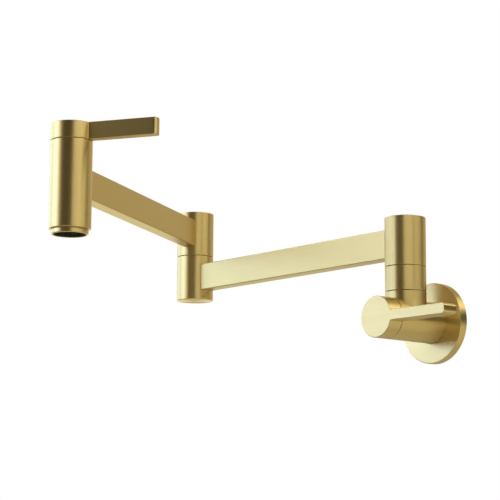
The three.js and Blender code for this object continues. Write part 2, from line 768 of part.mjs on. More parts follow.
function lowerElbow() {
  const top = -SEAM;
  const bottom = top - LEVEL_HEIGHT;
  const socketFloor = top - SPINDLE_FOOT - FIT;
  const chamber = pin(ELBOW_CHAMBER_D / 2, bottom + ELBOW_FLOOR, socketFloor + PAST, INNER_SIDES);
  return cutAll(
    pin(COLUMN_R, bottom, top, OUTER_SIDES, EDGE),
    spindleSocket(top, SPINDLE_FOOT + FIT),
    chamber,
    box(COLUMN_D, PORT_WIDTH, PORT_HEIGHT, -COLUMN_R, 0, bottom + ARM_MIDDLE),
  );
}

// ---------------------------------------------------------------- arms

function roundedBar(width, height, radius) {
  const x = width / 2 - radius;
  const y = height / 2 - radius;
  const right = Math.PI / 2;
  const corners = [[x, -y], [x, y], [-x, y], [-x, -y]];
  return new THREE.Shape(
    corners.flatMap(([cx, cy], i) => arc(cx, cy, radius, (i - 1) * right, i * right, CORNER_STEPS)),
  );
}

// A rectangular tube along +X from one upright to the next, coped round both. It is centred on
// height 0.
function arm() {
  const start = COLUMN_R / 2;
  const end = ARM_LENGTH - start;
  const alongX = (piece) => piece.rotate([QUARTER_TURN, 0, QUARTER_TURN]);
  const outside = alongX(extruded(roundedBar(ARM_WIDTH, ARM_HEIGHT, ARM_EDGE_R), start, end));
  const waterway = roundedBar(ARM_WIDTH - 2 * ARM_WALL, ARM_HEIGHT - 2 * ARM_WALL, ARM_EDGE_R);
  const inside = alongX(extruded(waterway, start - PAST, end + PAST));
  const cope = pin(COLUMN_R + FIT, -ARM_HEIGHT, ARM_HEIGHT, OUTER_SIDES);
  return cutAll(outside, inside, cope, cope.translate([ARM_LENGTH, 0, 0]));
}

// ---------------------------------------------------------------- spout head and aerator

function spoutHead() {
  const outletDepth = HEAD_TOP - CAVITY_DEPTH - SEAT_WEB - HEAD_BOTTOM;
  const aeratorRoom = AERATOR_THREAD_D / 2 + FIT;
  const roomTop = HEAD_BOTTOM - FIT + AERATOR_THREAD_LENGTH + AERATOR_GASKET_HEIGHT + 2 * FIT;
  const outside = turned(
    [
      [0, HEAD_BOTTOM],
      [COLUMN_R - EDGE, HEAD_BOTTOM],
      [COLUMN_R, HEAD_BOTTOM + EDGE],
      [COLUMN_R, HEAD_TOP - EDGE],
      [COLUMN_R - EDGE, HEAD_TOP],
      [0, HEAD_TOP],
    ],
    OUTER_SIDES,
  );
  return cutAll(
    outside,
    cartridgeRoom(SEAT_HOLE_D / 2, SEAT_WEB + PAST).translate([0, 0, HEAD_TOP]),
    pin(HEAD_BORE_D / 2, HEAD_BOTTOM + PAST, HEAD_BOTTOM + outletDepth, INNER_SIDES),
    pin(aeratorRoom, HEAD_BOTTOM - PAST, roomTop, INNER_SIDES),
    box(COLUMN_D, PORT_WIDTH, HEAD_PORT_HEIGHT, -COLUMN_R, 0, HEAD_PORT_CENTRE),
  );
}

const AERATOR_TOP = HEAD_BOTTOM - FIT; // upper face of the visible ring
const AERATOR_BOTTOM = AERATOR_TOP - AERATOR_RING_HEIGHT;

function aeratorHousing() {
  const outer = AERATOR_D / 2;
  const thread = AERATOR_THREAD_D / 2;
  const mouth = AERATOR_MOUTH_D / 2;
  const bore = AERATOR_BORE_D / 2;
  const top = AERATOR_TOP + AERATOR_THREAD_LENGTH;
  return turned(
    [
      [mouth, AERATOR_BOTTOM],
      [outer - EDGE, AERATOR_BOTTOM],
      [outer, AERATOR_BOTTOM + EDGE],
      [outer, AERATOR_TOP],
      [thread, AERATOR_TOP],
      [thread, top],
      [bore, top],
      [bore, AERATOR_BOTTOM + AERATOR_LIP],
      [mouth, AERATOR_BOTTOM + AERATOR_LIP],
    ],
    INNER_SIDES,
  );
}

function aeratorInsert() {
  const bottom = AERATOR_BOTTOM + INSERT_RECESS;
  const lipTop = AERATOR_BOTTOM + AERATOR_LIP - FIT;
  const top = bottom + INSERT_LENGTH;
  let insert = turned(
    [
      [0, bottom],
      [AERATOR_MOUTH_D / 2 - FIT, bottom],
      [AERATOR_MOUTH_D / 2 - FIT, lipTop],
      [AERATOR_BORE_D / 2 - FIT, lipTop],
      [AERATOR_BORE_D / 2 - FIT, top],
      [0, top],
    ],
    INNER_SIDES,
  );
  for (const [x, y] of honeycombPlaces()) {
    insert = insert.subtract(hexPrism(CELL_FLATS, bottom - PAST, top + PAST, x, y));
  }
  return insert;
}

// Centres of the cells of a round honeycomb.
function honeycombPlaces() {
  const places = [];
  for (let column = -CELL_RINGS; column <= CELL_RINGS; column++) {
    for (let row = -CELL_RINGS; row <= CELL_RINGS; row++) {
      if (Math.abs(column + row) > CELL_RINGS) continue;
      const x = (CELL_PITCH * Math.sqrt(3) * column) / 2;
      const y = CELL_PITCH * (row + column / 2);
      places.push([x, y]);
    }
  }
  return places;
}

function aeratorGasket() {
  const bottom = AERATOR_TOP + AERATOR_THREAD_LENGTH + FIT;
  const inner = AERATOR_GASKET_BORE_D / 2;
  return ring(inner, AERATOR_THREAD_D / 2, bottom, bottom + AERATOR_GASKET_HEIGHT - FIT, INNER_SIDES);
}

// ---------------------------------------------------------------- assembly

function laidOn(object, x, y, z) {
  object.position.set(x, y, z);
  return object;
}

function turnedBy(object, angle) {
  object.rotation.z = angle;
  return object;
}

// The valve's mouth faces -Y here, with its blade still towards +X.
const wallValve = valve("wall");
wallValve.rotation.x = Math.PI / 2;
wallValve.position.y = -BARREL_LENGTH;

const wallSide = group(
  mesh("wall_flange", lying(wallFlange()), brushedGold),
  mesh("flange_grip_ring", lying(gripRing()), rubber),
  mesh("flange_gasket", lying(flangeGasket()), foam),
  mesh("inlet_adapter", lying(inletAdapter()), bareBrass),
  ...ADAPTER_O_RINGS.map((place, i) => mesh(`adapter_o_ring_${i + 1}`, lying(adapterORing(place)), rubber)),
  mesh("valve_body", valveBody(), brushedGold),
  mesh(
    "body_set_screw",
    toTheLeft(
      setScrew(
        BODY_SCREW_D,
        COLUMN_R - SPIGOT_D / 2 + SCREW_GROOVE_DEPTH - 2 * FIT - EDGE,
        SPIGOT_D / 2 - SCREW_GROOVE_DEPTH + FIT,
      ),
    ).translate([0, -BODY_SCREW_PLACE, 0]),
    steel,
  ),
  wallValve,
);

const POST_FOOT = STUB_TOP - SPINDLE_FOOT - LEVEL_1;
const postCore = group(pivotCore("post", POST_FOOT), mesh("post_collar", postCollar(), brushedGold));

const spoutHeadGroup = group(
  mesh("spout_head", spoutHead(), brushedGold),
  mesh("aerator_housing", aeratorHousing(), brushedGold),
  mesh("aerator_insert", aeratorInsert(), blackPlastic),
  mesh("aerator_gasket", aeratorGasket(), rubber),
  turnedBy(laidOn(valve("spout"), 0, 0, HEAD_TOP), SPOUT_HANDLE_ANGLE),
);

const arm2 = group(
  laidOn(
    group(mesh("elbow_upper", swivelShell(), brushedGold), mesh("elbow_cap", swivelCap(), brushedGold)),
    0,
    0,
    LEVEL_2,
  ),
  laidOn(mesh("arm_2", arm(), brushedGold), 0, 0, LEVEL_2 + ARM_MIDDLE),
  laidOn(spoutHeadGroup, ARM_LENGTH, 0, 0),
);

const arm1 = group(
  laidOn(
    group(mesh("post_swivel", swivelShell(), brushedGold), mesh("post_cap", swivelCap(), brushedGold)),
    0,
    0,
    LEVEL_1,
  ),
  laidOn(mesh("arm_1", arm(), brushedGold), 0, 0, LEVEL_1 + ARM_MIDDLE),
  laidOn(
    group(
      pivotCore("elbow", -SEAM - SPINDLE_FOOT),
      mesh("elbow_lower", lowerElbow(), brushedGold),
    ),
    ARM_LENGTH,
    0,
    LEVEL_2,
  ),
  turnedBy(laidOn(arm2, ARM_LENGTH, 0, 0), ARM_2_ANGLE),
);

const potFiller = group(
  wallSide,
  laidOn(postCore, 0, -POST_REACH, LEVEL_1),
  turnedBy(laidOn(arm1, 0, -POST_REACH, 0), ARM_1_ANGLE),
);
potFiller.updateMatrixWorld(true);

export default potFiller;
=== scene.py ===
import json
import math

import bmesh
import bpy
import numpy as np
from mathutils import Matrix, Vector
from mathutils.geometry import tessellate_polygon

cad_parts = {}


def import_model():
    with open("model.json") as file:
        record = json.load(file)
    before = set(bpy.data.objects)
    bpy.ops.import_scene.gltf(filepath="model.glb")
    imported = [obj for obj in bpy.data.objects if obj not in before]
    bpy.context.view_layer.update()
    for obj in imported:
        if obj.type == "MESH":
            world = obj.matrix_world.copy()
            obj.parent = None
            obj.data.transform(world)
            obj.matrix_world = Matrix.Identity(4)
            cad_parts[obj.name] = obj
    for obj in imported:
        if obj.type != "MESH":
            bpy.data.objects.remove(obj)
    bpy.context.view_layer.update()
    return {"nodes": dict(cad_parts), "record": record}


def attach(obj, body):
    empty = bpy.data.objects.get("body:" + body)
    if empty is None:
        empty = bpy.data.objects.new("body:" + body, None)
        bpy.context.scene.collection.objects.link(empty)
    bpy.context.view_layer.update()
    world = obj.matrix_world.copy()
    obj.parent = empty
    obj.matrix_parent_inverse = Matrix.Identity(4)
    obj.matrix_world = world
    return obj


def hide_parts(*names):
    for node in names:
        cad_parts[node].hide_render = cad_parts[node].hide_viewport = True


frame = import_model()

MM = 0.001


def bearing(azimuth, elevation):
    """A direction from the object, in degrees from straight ahead of the wall to +X, and up."""
    a, e = math.radians(azimuth), math.radians(elevation)
    return Vector((math.sin(a) * math.cos(e), -math.cos(a) * math.cos(e), math.sin(e)))


# ---------------------------------------------------------------- camera

CAMERA_BEARING = bearing(49.43, -9.54)
CAMERA_ROLL = math.radians(0.29)
CAMERA_PLACE = (1.04908, -1.11527, -0.19062)
CAMERA_LENS = 125.45
SENSOR_WIDTH = 36
CLIP_END = 30  # in metres


def add_camera():
    data = bpy.data.cameras.new("camera")
    data.sensor_width = SENSOR_WIDTH
    data.lens = CAMERA_LENS
    data.clip_end = CLIP_END
    camera = bpy.data.objects.new("camera", data)
    bpy.context.scene.collection.objects.link(camera)
    level = Vector((0, 0, 1)).cross(CAMERA_BEARING).normalized()
    rise = CAMERA_BEARING.cross(level)
    right = level * math.cos(CAMERA_ROLL) + rise * math.sin(CAMERA_ROLL)
    up = rise * math.cos(CAMERA_ROLL) - level * math.sin(CAMERA_ROLL)
    turn = Matrix((right, up, CAMERA_BEARING)).transposed().to_4x4()
    camera.matrix_world = Matrix.Translation(CAMERA_PLACE) @ turn
    bpy.context.scene.camera = camera


add_camera()

# ---------------------------------------------------------------- sizes, in millimetres

COLUMN_R = 18.0  # uprights, barrel, spout head and handle caps
SEAM = 0.4  # visible joint line between two turned pieces
FIT = 0.3  # clearance between pieces that seat in one another
EDGE = 0.5  # bevel on outer edges
CAST_EDGE = 0.3  # bevel on cast corners and rims
BREAK = 0.2  # bevel on the edges of bores and small pieces

POST_Y = -39.0
BARREL_FRONT = 60.6
BARREL_BACK = 1.5
STUB_TOP = 24.1
COLLAR_BOTTOM = STUB_TOP + SEAM
COLLAR_HEIGHT = 21.5
LEVEL_HEIGHT = 43.4  # of one swivelling cylinder
LEVEL_1 = COLLAR_BOTTOM + COLLAR_HEIGHT + SEAM
LEVEL_2 = LEVEL_1 + LEVEL_HEIGHT + SEAM
HEAD_TOP = 144.2
HEAD_BOTTOM = 68.5

ARM_LENGTH = 292.0
ARM_MIDDLE = LEVEL_HEIGHT / 2
ARM_1_TURN = math.radians(180)
ARM_2_TURN = math.radians(300)
SPOUT_BLADE_TURN = math.radians(30)
ELBOW = (-ARM_LENGTH, POST_Y)
HEAD = (
    -ARM_LENGTH + ARM_LENGTH * math.cos(ARM_2_TURN),
    POST_Y + ARM_LENGTH * math.sin(ARM_2_TURN),
)

SPINDLE_SOCKET_R = 11.7
SPINDLE_SOCKET_DEPTH = 10.0
WASHER_SOCKET_R = 15.3
WASHER_SOCKET_DEPTH = 1.1

CAVITY_R = 11.5  # the bore that holds a cartridge
CAVITY_DEPTH = 30.6
NUT_THREAD_R = 13.5
LEDGE_DEPTH = 8.3
SEAT_HOLE_R = 5.0
SEAT_WEB = 3.0

# ---------------------------------------------------------------- meshes

SIDES = 144  # round a column
BORE_SIDES = 96  # round the aerator's insert and a handle's pocket
SMALL_SIDES = 48  # round a screw or a drilled hole
BEVEL_STEPS = 5
CORNER_STEPS = 6  # round the corners of arms and blades
SHARP_ANGLE = math.radians(34)
FLAT_FACE_WEIGHT = 100
WELD_GAP = 2e-6  # in metres
SHORTEST_EDGE = 1e-7  # in metres
UV_PER_MM = 0.02


class Skin:
    """Collects the patches of one closed piece. Each corner keeps its place in the brushing:
    first across the grooves, then two slow coordinates along them, all in millimetres."""

    def __init__(self):
        self.points = []
        self.faces = []
        self.brush = []
        self.uv = []

    def add(self, points, faces, brush, uv):
        base = sum(len(block) for block in self.points)
        self.points.append(np.asarray(points, float).reshape(-1, 3))
        brush = np.asarray(brush, float).reshape(-1, 3)
        uv = np.asarray(uv, float).reshape(-1, 2)
        for face in faces:
            self.faces.append([base + i for i in face])
            self.brush.extend(brush[i] for i in face)
            self.uv.extend(uv[i] for i in face)

    def take(self, other, carry):
        """Adds the patches of another skin, with their points carried elsewhere."""
        base = sum(len(block) for block in self.points)
        self.points += [carry(block) for block in other.points]
        self.faces += [[base + i for i in face] for face in other.faces]
        self.brush += other.brush
        self.uv += other.uv

    def grid(self, points, brush, uv):
        """A sheet of quads over an array of rows by columns."""
        rows, columns = points.shape[:2]
        at = lambda i, j: i * columns + j
        faces = [
            (at(i, j), at(i, j + 1), at(i + 1, j + 1), at(i + 1, j))
            for i in range(rows - 1)
            for j in range(columns - 1)
        ]
        self.add(points, faces, brush, uv)

    def flat(self, loops, height):
        """A level face inside the first loop, with the other loops as holes, brushed along X."""
        corners = [Vector((x, y, height)) for loop in loops for x, y in loop]
        triangles = tessellate_polygon([[Vector((x, y, 0)) for x, y in loop] for loop in loops])
        places = np.array([list(corner) for corner in corners])
        along, over = places[:, 0], places[:, 1]
        brush = np.stack([over, along, np.full(len(over), height)], 1)
        self.add(places, triangles, brush, np.stack([over, along], 1))

    def walls(self, outline, low, high):
        """The upright walls of a hole or socket with this outline."""
        points = np.array([[(*p, h) for p in outline + outline[:1]] for h in (low, high)])
        self.grid(points, points[:, :, [0, 2, 1]], points[:, :, [0, 2]])

    def build(self, name, place=Matrix.Identity(4)):
        mesh = bpy.data.meshes.new(name)
        mesh.from_pydata(np.concatenate(self.points) * MM, [], self.faces)
        layer = mesh.attributes.new("brush", "FLOAT_VECTOR", "CORNER")
        layer.data.foreach_set("vector", np.array(self.brush, np.float32).ravel())
        uv = mesh.uv_layers.new(name="UVMap")
        uv.data.foreach_set("uv", (np.array(self.uv, np.float32) * UV_PER_MM).ravel())
        work = bmesh.new()
        work.from_mesh(mesh)
        bmesh.ops.remove_doubles(work, verts=work.verts, dist=WELD_GAP)
        bmesh.ops.dissolve_degenerate(work, edges=work.edges, dist=SHORTEST_EDGE)
        bmesh.ops.recalc_face_normals(work, faces=work.faces)
        for face in work.faces:
            face.smooth = True
        for edge in work.edges:
            if len(edge.link_faces) == 2 and edge.calc_face_angle(0) > SHARP_ANGLE:
                edge.smooth = False
        work.to_mesh(mesh)
        work.free()
        mesh.transform(place)
        piece = bpy.data.objects.new(name, mesh)
        bpy.context.scene.collection.objects.link(piece)
        return piece


def apply_modifiers(piece):
    bpy.context.view_layer.update()
    view = bpy.context.evaluated_depsgraph_get()
    mesh = bpy.data.meshes.new_from_object(piece.evaluated_get(view))
    piece.modifiers.clear()
    piece.data = mesh


def weigh_normals(piece):
    """Lets the large faces keep their own normals, so that only the bevels are rounded."""
    weighted = piece.modifiers.new("normals", "WEIGHTED_NORMAL")
    weighted.keep_sharp = True
    weighted.weight = FLAT_FACE_WEIGHT
    apply_modifiers(piece)


def polygon(radius, count):
    """The corners of a regular polygon, the first one on the X axis."""
    return [
        (radius * math.cos(t), radius * math.sin(t))
        for t in np.linspace(0, 2 * math.pi, count + 1)[:-1]
    ]


def rounded(corners, closed=False):
    """A profile from [radius, height, bevel] corners, each bevelled by a small arc."""
    count = len(corners)
    points = []
    for i, corner in enumerate(corners):
        here = np.array(corner[:2], float)
        bevel = corner[2] if len(corner) > 2 else 0
        if bevel == 0 or (not closed and i in (0, count - 1)):
            points.append(here)
            continue
        back = np.array(corners[i - 1][:2], float) - here
        ahead = np.array(corners[(i + 1) % count][:2], float) - here
        back /= np.linalg.norm(back)
        ahead /= np.linalg.norm(ahead)
        half = math.acos(np.clip(back @ ahead, -1, 1)) / 2
        middle = here + (back + ahead) / np.linalg.norm(back + ahead) * bevel / math.cos(half)
        first, last = here + back * bevel - middle, here + ahead * bevel - middle
        sweep = math.pi - 2 * half
        for k in range(BEVEL_STEPS + 1):
            t = k / BEVEL_STEPS
            spoke = math.sin((1 - t) * sweep) * first + math.sin(t * sweep) * last
            points.append(middle + spoke / math.sin(sweep))
    if closed:
        points.append(points[0])
    return np.array(points)


def lengths(points):
    """Distance along a line of points, from its first."""
    steps = np.linalg.norm(np.diff(points, axis=0), axis=1)
    return np.concatenate([[0], np.cumsum(steps)])


def turn(skin, profile, sides=SIDES, mitre=None):
    """Turns a profile about the Z axis. `mitre` is one of the profile's points and a function
    that gives its height at each angle."""
    angles = np.linspace(0, 2 * math.pi, sides + 1)
    radius = profile[:, 0][:, None]
    x = radius * np.cos(angles)
    y = radius * np.sin(angles)
    z = np.repeat(profile[:, 1][:, None], sides + 1, 1)
    if mitre is not None:
        point, height = mitre
        z[point] = height(angles)
    across = np.repeat(lengths(profile)[:, None], sides + 1, 1)
    along = np.repeat((angles * COLUMN_R)[None, :], len(profile), 0)
    skin.grid(np.stack([x, y, z], 2), np.stack([across, x, y], 2), np.stack([across, along], 2))


def turned(name, corners, place, closed=True, sides=SIDES):
    """A piece turned about its Z axis, from the corners of its profile."""
    skin = Skin()
    turn(skin, rounded(corners, closed), sides)
    return skin.build(name, place)


def moved(x, y, z, angle=0.0):
    """A place in millimetres, turned about its upright axis."""
    return Matrix.Translation((x * MM, y * MM, z * MM)) @ Matrix.Rotation(angle, 4, "Z")


LYING = Matrix.Rotation(math.radians(90), 4, "X")  # +Z comes to point out of the wall
LEFTWARDS = Matrix.Rotation(math.radians(-90), 4, "Y")  # +Z comes to point along -X

# ---------------------------------------------------------------- materials

NOISE_LOW, NOISE_HIGH = 0.3, 0.7  # between these lies nearly all of a noise's range


class Nodes:
    """A node tree with short calls for adding and linking nodes."""

    def __init__(self, tree):
        self.tree = tree
        tree.nodes.clear()

    def add(self, kind, **values):
        node = self.tree.nodes.new(kind)
        for key, value in values.items():
            setattr(node, key, value)
        return node

    def link(self, source, target):
        self.tree.links.new(source, target)


def material(name, **settings):
    mat = bpy.data.materials.new(name)
    mat.use_nodes = True
    nodes = Nodes(mat.node_tree)
    shader = nodes.add("ShaderNodeBsdfPrincipled")
    out = nodes.add("ShaderNodeOutputMaterial")
    nodes.link(shader.outputs[0], out.inputs["Surface"])
    for key, value in settings.items():
        shader.inputs[key.replace("_", " ")].default_value = value
    return mat, nodes, shader


def streaks(nodes, across, along, detail):
    """Noise drawn out along the brushing, in features per millimetre across and along it."""
    brush = nodes.add("ShaderNodeAttribute", attribute_name="brush")
    scale = nodes.add("ShaderNodeMapping")
    scale.inputs["Scale"].default_value = (across, along, along)
    noise = nodes.add("ShaderNodeTexNoise")
    noise.inputs["Scale"].default_value = 1.0
    noise.inputs["Detail"].default_value = detail
    nodes.link(brush.outputs["Vector"], scale.inputs["Vector"])
    nodes.link(scale.outputs["Vector"], noise.inputs["Vector"])
    return noise.outputs["Fac"]


def spots(nodes, scale, detail=2.0):
    """Noise by place on the object, in features per metre."""
    place = nodes.add("ShaderNodeTexCoord")
    noise = nodes.add("ShaderNodeTexNoise")
    noise.inputs["Scale"].default_value = scale
    noise.inputs["Detail"].default_value = detail
    nodes.link(place.outputs["Object"], noise.inputs["Vector"])
    return noise.outputs["Fac"]


def spread(nodes, value, middle, swing):
    """Maps noise to a number that swings to both sides of its middle."""
    ramp = nodes.add("ShaderNodeMapRange")
    ramp.inputs["From Min"].default_value = NOISE_LOW
    ramp.inputs["From Max"].default_value = NOISE_HIGH
    ramp.inputs["To Min"].default_value = middle - swing
    ramp.inputs["To Max"].default_value = middle + swing
    nodes.link(value, ramp.inputs["Value"])
    return ramp.outputs["Result"]


def tint(nodes, value, dark, light):
    """Maps noise to a range between two colours."""
    ramp = nodes.add("ShaderNodeValToRGB")
    first, last = ramp.color_ramp.elements
    first.position, first.color = NOISE_LOW, (*dark, 1)
    last.position, last.color = NOISE_HIGH, (*light, 1)
    nodes.link(value, ramp.inputs["Fac"])
    return ramp.outputs["Color"]


def bump(nodes, shader, height, strength, distance):
    node = nodes.add("ShaderNodeBump")
    node.inputs["Strength"].default_value = strength
    node.inputs["Distance"].default_value = distance
    nodes.link(height, node.inputs["Height"])
    nodes.link(node.outputs["Normal"], shader.inputs["Normal"])


BRUSH_STRETCH = 0.03  # features per millimetre along a fine scratch
BRUSH_DETAIL = 3.0
BRUSH_DEPTH = 3e-7
BRUSH_SWING = 0.02
BAND_GRAIN, BAND_STRETCH, BAND_DETAIL = 0.42, 0.012, 2.0  # broad bands of a slightly other tone


def brushed_metal(name, dark, light, rough, grain, anisotropy):
    """Metal brushed along one direction: its shine spreads across the grooves. `grain` is how
    many scratches lie in a millimetre."""
    mat, nodes, shader = material(name, Metallic=1.0, Anisotropic=anisotropy)
    fine = streaks(nodes, grain, BRUSH_STRETCH, BRUSH_DETAIL)
    wide = streaks(nodes, BAND_GRAIN, BAND_STRETCH, BAND_DETAIL)
    nodes.link(tint(nodes, wide, dark, light), shader.inputs["Base Color"])
    nodes.link(spread(nodes, fine, rough, BRUSH_SWING), shader.inputs["Roughness"])
    tangent = nodes.add("ShaderNodeTangent", direction_type="UV_MAP", uv_map="UVMap")
    nodes.link(tangent.outputs[0], shader.inputs["Tangent"])
    bump(nodes, shader, fine, 1.0, BRUSH_DEPTH)
    return mat


TURNED_TONE, TURNED_SHINE, TURNED_MARKS = 900, 2600, 3200  # features per metre
TURNED_SWING = 0.06
TURNED_BUMP, TURNED_DEPTH = 0.6, 4e-6


def turned_metal(name, dark, light, rough):
    """Plain machined metal, for pieces that have no brushing of their own."""
    mat, nodes, shader = material(name, Metallic=1.0)
    nodes.link(tint(nodes, spots(nodes, TURNED_TONE), dark, light), shader.inputs["Base Color"])
    shine = spread(nodes, spots(nodes, TURNED_SHINE), rough, TURNED_SWING)
    nodes.link(shine, shader.inputs["Roughness"])
    bump(nodes, shader, spots(nodes, TURNED_MARKS), TURNED_BUMP, TURNED_DEPTH)
    return mat


MOULDED_TONE = 0.3  # features of tone for each feature of the grain
MOULDED_SWING = 0.07
MOULDED_BUMP, MOULDED_DETAIL = 0.8, 4.0


def moulded(name, dark, light, rough, grain, depth, specular=0.5):
    """Rubber, plastic, foam or ceramic with a fine grain."""
    mat, nodes, shader = material(name, Specular_IOR_Level=specular)
    tone = tint(nodes, spots(nodes, grain * MOULDED_TONE), dark, light)
    nodes.link(tone, shader.inputs["Base Color"])
    shine = spread(nodes, spots(nodes, grain), rough, MOULDED_SWING)
    nodes.link(shine, shader.inputs["Roughness"])
    bump(nodes, shader, spots(nodes, grain, MOULDED_DETAIL), MOULDED_BUMP, depth)
    return mat


# Each has a dark and a light tone and a roughness, and then what its kind of finish takes.
RECIPES = {
    "brushed_gold": (brushed_metal, (0.69, 0.543, 0.251), (0.71, 0.557, 0.259), 0.41, 2.6, 0.77),
    "bare_brass": (brushed_metal, (0.6, 0.42, 0.16), (0.7, 0.51, 0.22), 0.36, 1.8, 0.6),
    "brass_castings": (turned_metal, (0.58, 0.41, 0.16), (0.69, 0.5, 0.22), 0.4),
    "screw_steel": (turned_metal, (0.33, 0.335, 0.34), (0.5, 0.5, 0.51), 0.34),
    "seal_rubber": (moulded, (0.012, 0.012, 0.013), (0.022, 0.022, 0.024), 0.6, 2400, 8e-6),
    "foam": (moulded, (0.03, 0.03, 0.032), (0.07, 0.07, 0.074), 0.9, 1500, 1.2e-4),
    "white_plastic": (moulded, (0.7, 0.69, 0.65), (0.78, 0.77, 0.74), 0.42, 1800, 6e-6),
    "black_plastic": (moulded, (0.002, 0.002, 0.002), (0.004, 0.004, 0.004), 0.6, 1800, 6e-6, 0.03),
    "ceramic": (moulded, (0.78, 0.77, 0.74), (0.84, 0.83, 0.8), 0.2, 1200, 2e-6),
}
FINISH = {name: make(name, *values) for name, (make, *values) in RECIPES.items()}

BODY_OF = {
    node: body
    for body, members in frame["record"]["behaviour"]["bodies"].items()
    for node in members
}
SLOT_OF = {part["node"]: part["material_slot"] for part in frame["record"]["subparts"]}


def place_on(piece, node):
    """Lets a piece stand for a CAD node, on that node's body and in its finish."""
    weigh_normals(piece)
    slot = SLOT_OF[node]
    piece.data.materials.clear()
    piece.data.materials.append(FINISH[slot])
    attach(piece, BODY_OF[node])
    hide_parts(node)


def cut(piece, tool):
    """Takes a tool's shape out of a piece."""
    boolean = piece.modifiers.new("cut", "BOOLEAN")
    boolean.operation = "DIFFERENCE"
    boolean.solver = "EXACT"
    boolean.object = tool
    apply_modifiers(piece)
    bpy.data.objects.remove(tool)


def drill(piece, radius, start, end, place):
    """Drills a round hole along a placed Z axis."""
    corners = [(0, start), (radius, start), (radius, end), (0, end)]
    cut(piece, turned("tool", corners, place, False, SMALL_SIDES))


# ---------------------------------------------------------------- screws

SCREW_CONE_EDGE = 0.1
SCREW_RIM = 0.4  # how far a screw's end face starts inside its edge
PAST_COLUMN = COLUMN_R + 2  # where a drill that starts inside a column ends


def set_screw(name, node, diameter, tip, length, place):
    """A socket set screw along Z, with its cone point at the bottom."""
    skin = Skin()
    radius = diameter / 2
    top = tip + length
    body = rounded([
        (0, tip), (radius / 2, tip, SCREW_CONE_EDGE), (radius, tip + radius / 2, SCREW_CONE_EDGE),
        (radius, top, BREAK), (radius - SCREW_RIM, top),
    ])
    turn(skin, body, SMALL_SIDES)
    key = polygon(radius / math.sqrt(3), 6)
    skin.flat([polygon(body[-1, 0], SMALL_SIDES), key], top)
    bottom = tip + length / 2
    skin.walls(key, bottom, top)
    skin.flat([key], bottom)
    place_on(skin.build(name, place), node)


# ---------------------------------------------------------------- wall side

FLANGE_R = 35.5
FLANGE_DEPTH = 7.6
FLANGE_PLATE_BACK = 5.0
FLANGE_RIM_WALL = 3.0
FLANGE_HUB_WALL = 4.2
FLANGE_HUB_BACK = 1.2  # the hub stops this far short of the wall
FLANGE_GAP = 0.08  # round the barrel
FLANGE_FRONT_EDGE = 0.9
FLANGE_BACK_EDGE = 0.4
FLANGE_SIDES = 216
GRIP_GROOVE_BACK = 2.1
GRIP_GROOVE_FRONT = 4.1
GRIP_GROOVE_DEPTH = 1.7


def wall_flange():
    hole = COLUMN_R + FLANGE_GAP
    hub = hole + FLANGE_HUB_WALL
    groove = hole + GRIP_GROOVE_DEPTH
    inside = FLANGE_R - FLANGE_RIM_WALL
    piece = turned(
        "flange_shell",
        [
            (hole, FLANGE_DEPTH, BREAK),
            (FLANGE_R, FLANGE_DEPTH, FLANGE_FRONT_EDGE),
            (FLANGE_R, 0, FLANGE_BACK_EDGE),
            (inside, 0, CAST_EDGE),
            (inside, FLANGE_PLATE_BACK, CAST_EDGE),
            (hub, FLANGE_PLATE_BACK, CAST_EDGE),
            (hub, FLANGE_HUB_BACK, CAST_EDGE),
            (hole, FLANGE_HUB_BACK, BREAK),
            (hole, GRIP_GROOVE_BACK),
            (groove, GRIP_GROOVE_BACK),
            (groove, GRIP_GROOVE_FRONT),
            (hole, GRIP_GROOVE_FRONT),
        ],
        LYING,
        sides=FLANGE_SIDES,
    )
    place_on(piece, "wall_flange")


GASKET_R = 32.2
GASKET_WIDTH = 6.0
GASKET_DEPTH = 4.7


def flange_gasket():
    inside = GASKET_R - GASKET_WIDTH
    piece = turned(
        "foam_ring",
        [
            (inside, 0, EDGE), (GASKET_R, 0, EDGE),
            (GASKET_R, GASKET_DEPTH, EDGE), (inside, GASKET_DEPTH, EDGE),
        ],
        LYING,
    )
    place_on(piece, "flange_gasket")


THREAD_PITCH = 1.814
THREAD_CREST_R = 10.65
THREAD_LENGTH = 18.5
THREAD_TAPER = 1 / 32  # on the radius
THREAD_DEPTH = 1.1
THREAD_FLANK = 2.5  # how steeply the thread rises from its root
THREAD_ROOT_FLAT = 0.15
THREAD_ROWS = 14  # per turn of the thread
THREAD_END = 0.2  # just in front of the wall plane
RUN_OUT = 2.2  # the last threads fade over this length
LEAD_IN = 1.0  # and so do the first ones
LEAD_IN_SHARE = 0.2  # of the depth, at the very tip
TIP_LENGTH = 0.5
TIP_TAPER = 0.955
HEX_BORE = 10.0  # across the flats, for the fitting key
SPIGOT_R = 12.0
SPIGOT_START = 0.5
SPIGOT_BACK = 23.5
SPIGOT_END_BEVEL = 1.0
SPIGOT_START_EDGE = 0.25


